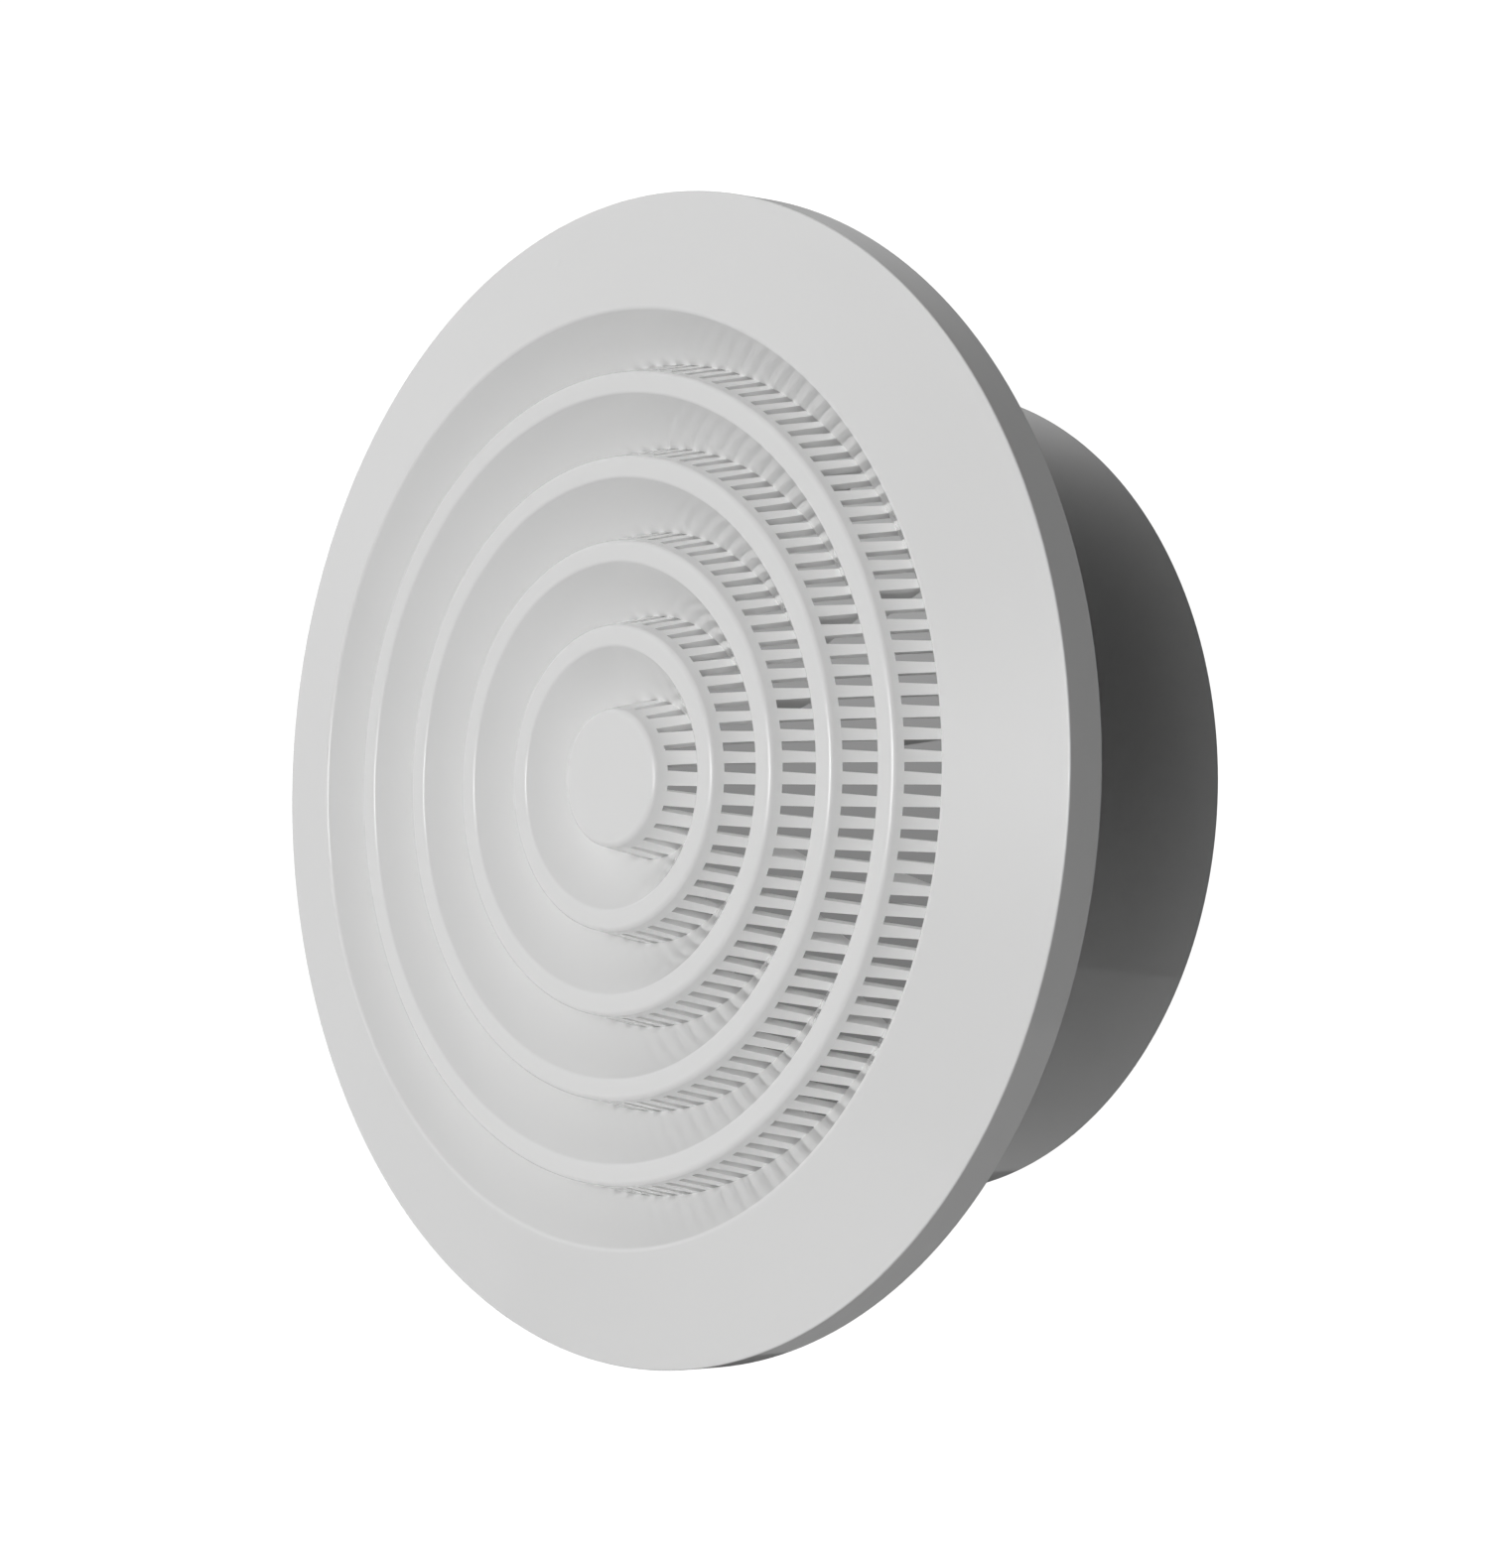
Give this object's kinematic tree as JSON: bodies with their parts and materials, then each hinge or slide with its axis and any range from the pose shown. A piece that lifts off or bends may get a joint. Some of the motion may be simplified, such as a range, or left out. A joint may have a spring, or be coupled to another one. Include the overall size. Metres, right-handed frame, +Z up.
{
  "type": "round vent cover",
  "caption": "White round vent cover with a sloping flange, a ringed slotted grille and a collar that fits into a round duct.",
  "frame": {"origin": "centre of the collar in the wall plane, where the rim meets the wall or ceiling", "axes": "+Y along the collar into the duct, +Z up, the face looks along -Y"},
  "size_m": [0.207, 0.0757, 0.207],
  "materials": {
    "white_plastic": "satin"
  },
  "bodies": {
    "root": {"vent_cover": "white_plastic"}
  },
  "joints": []
}
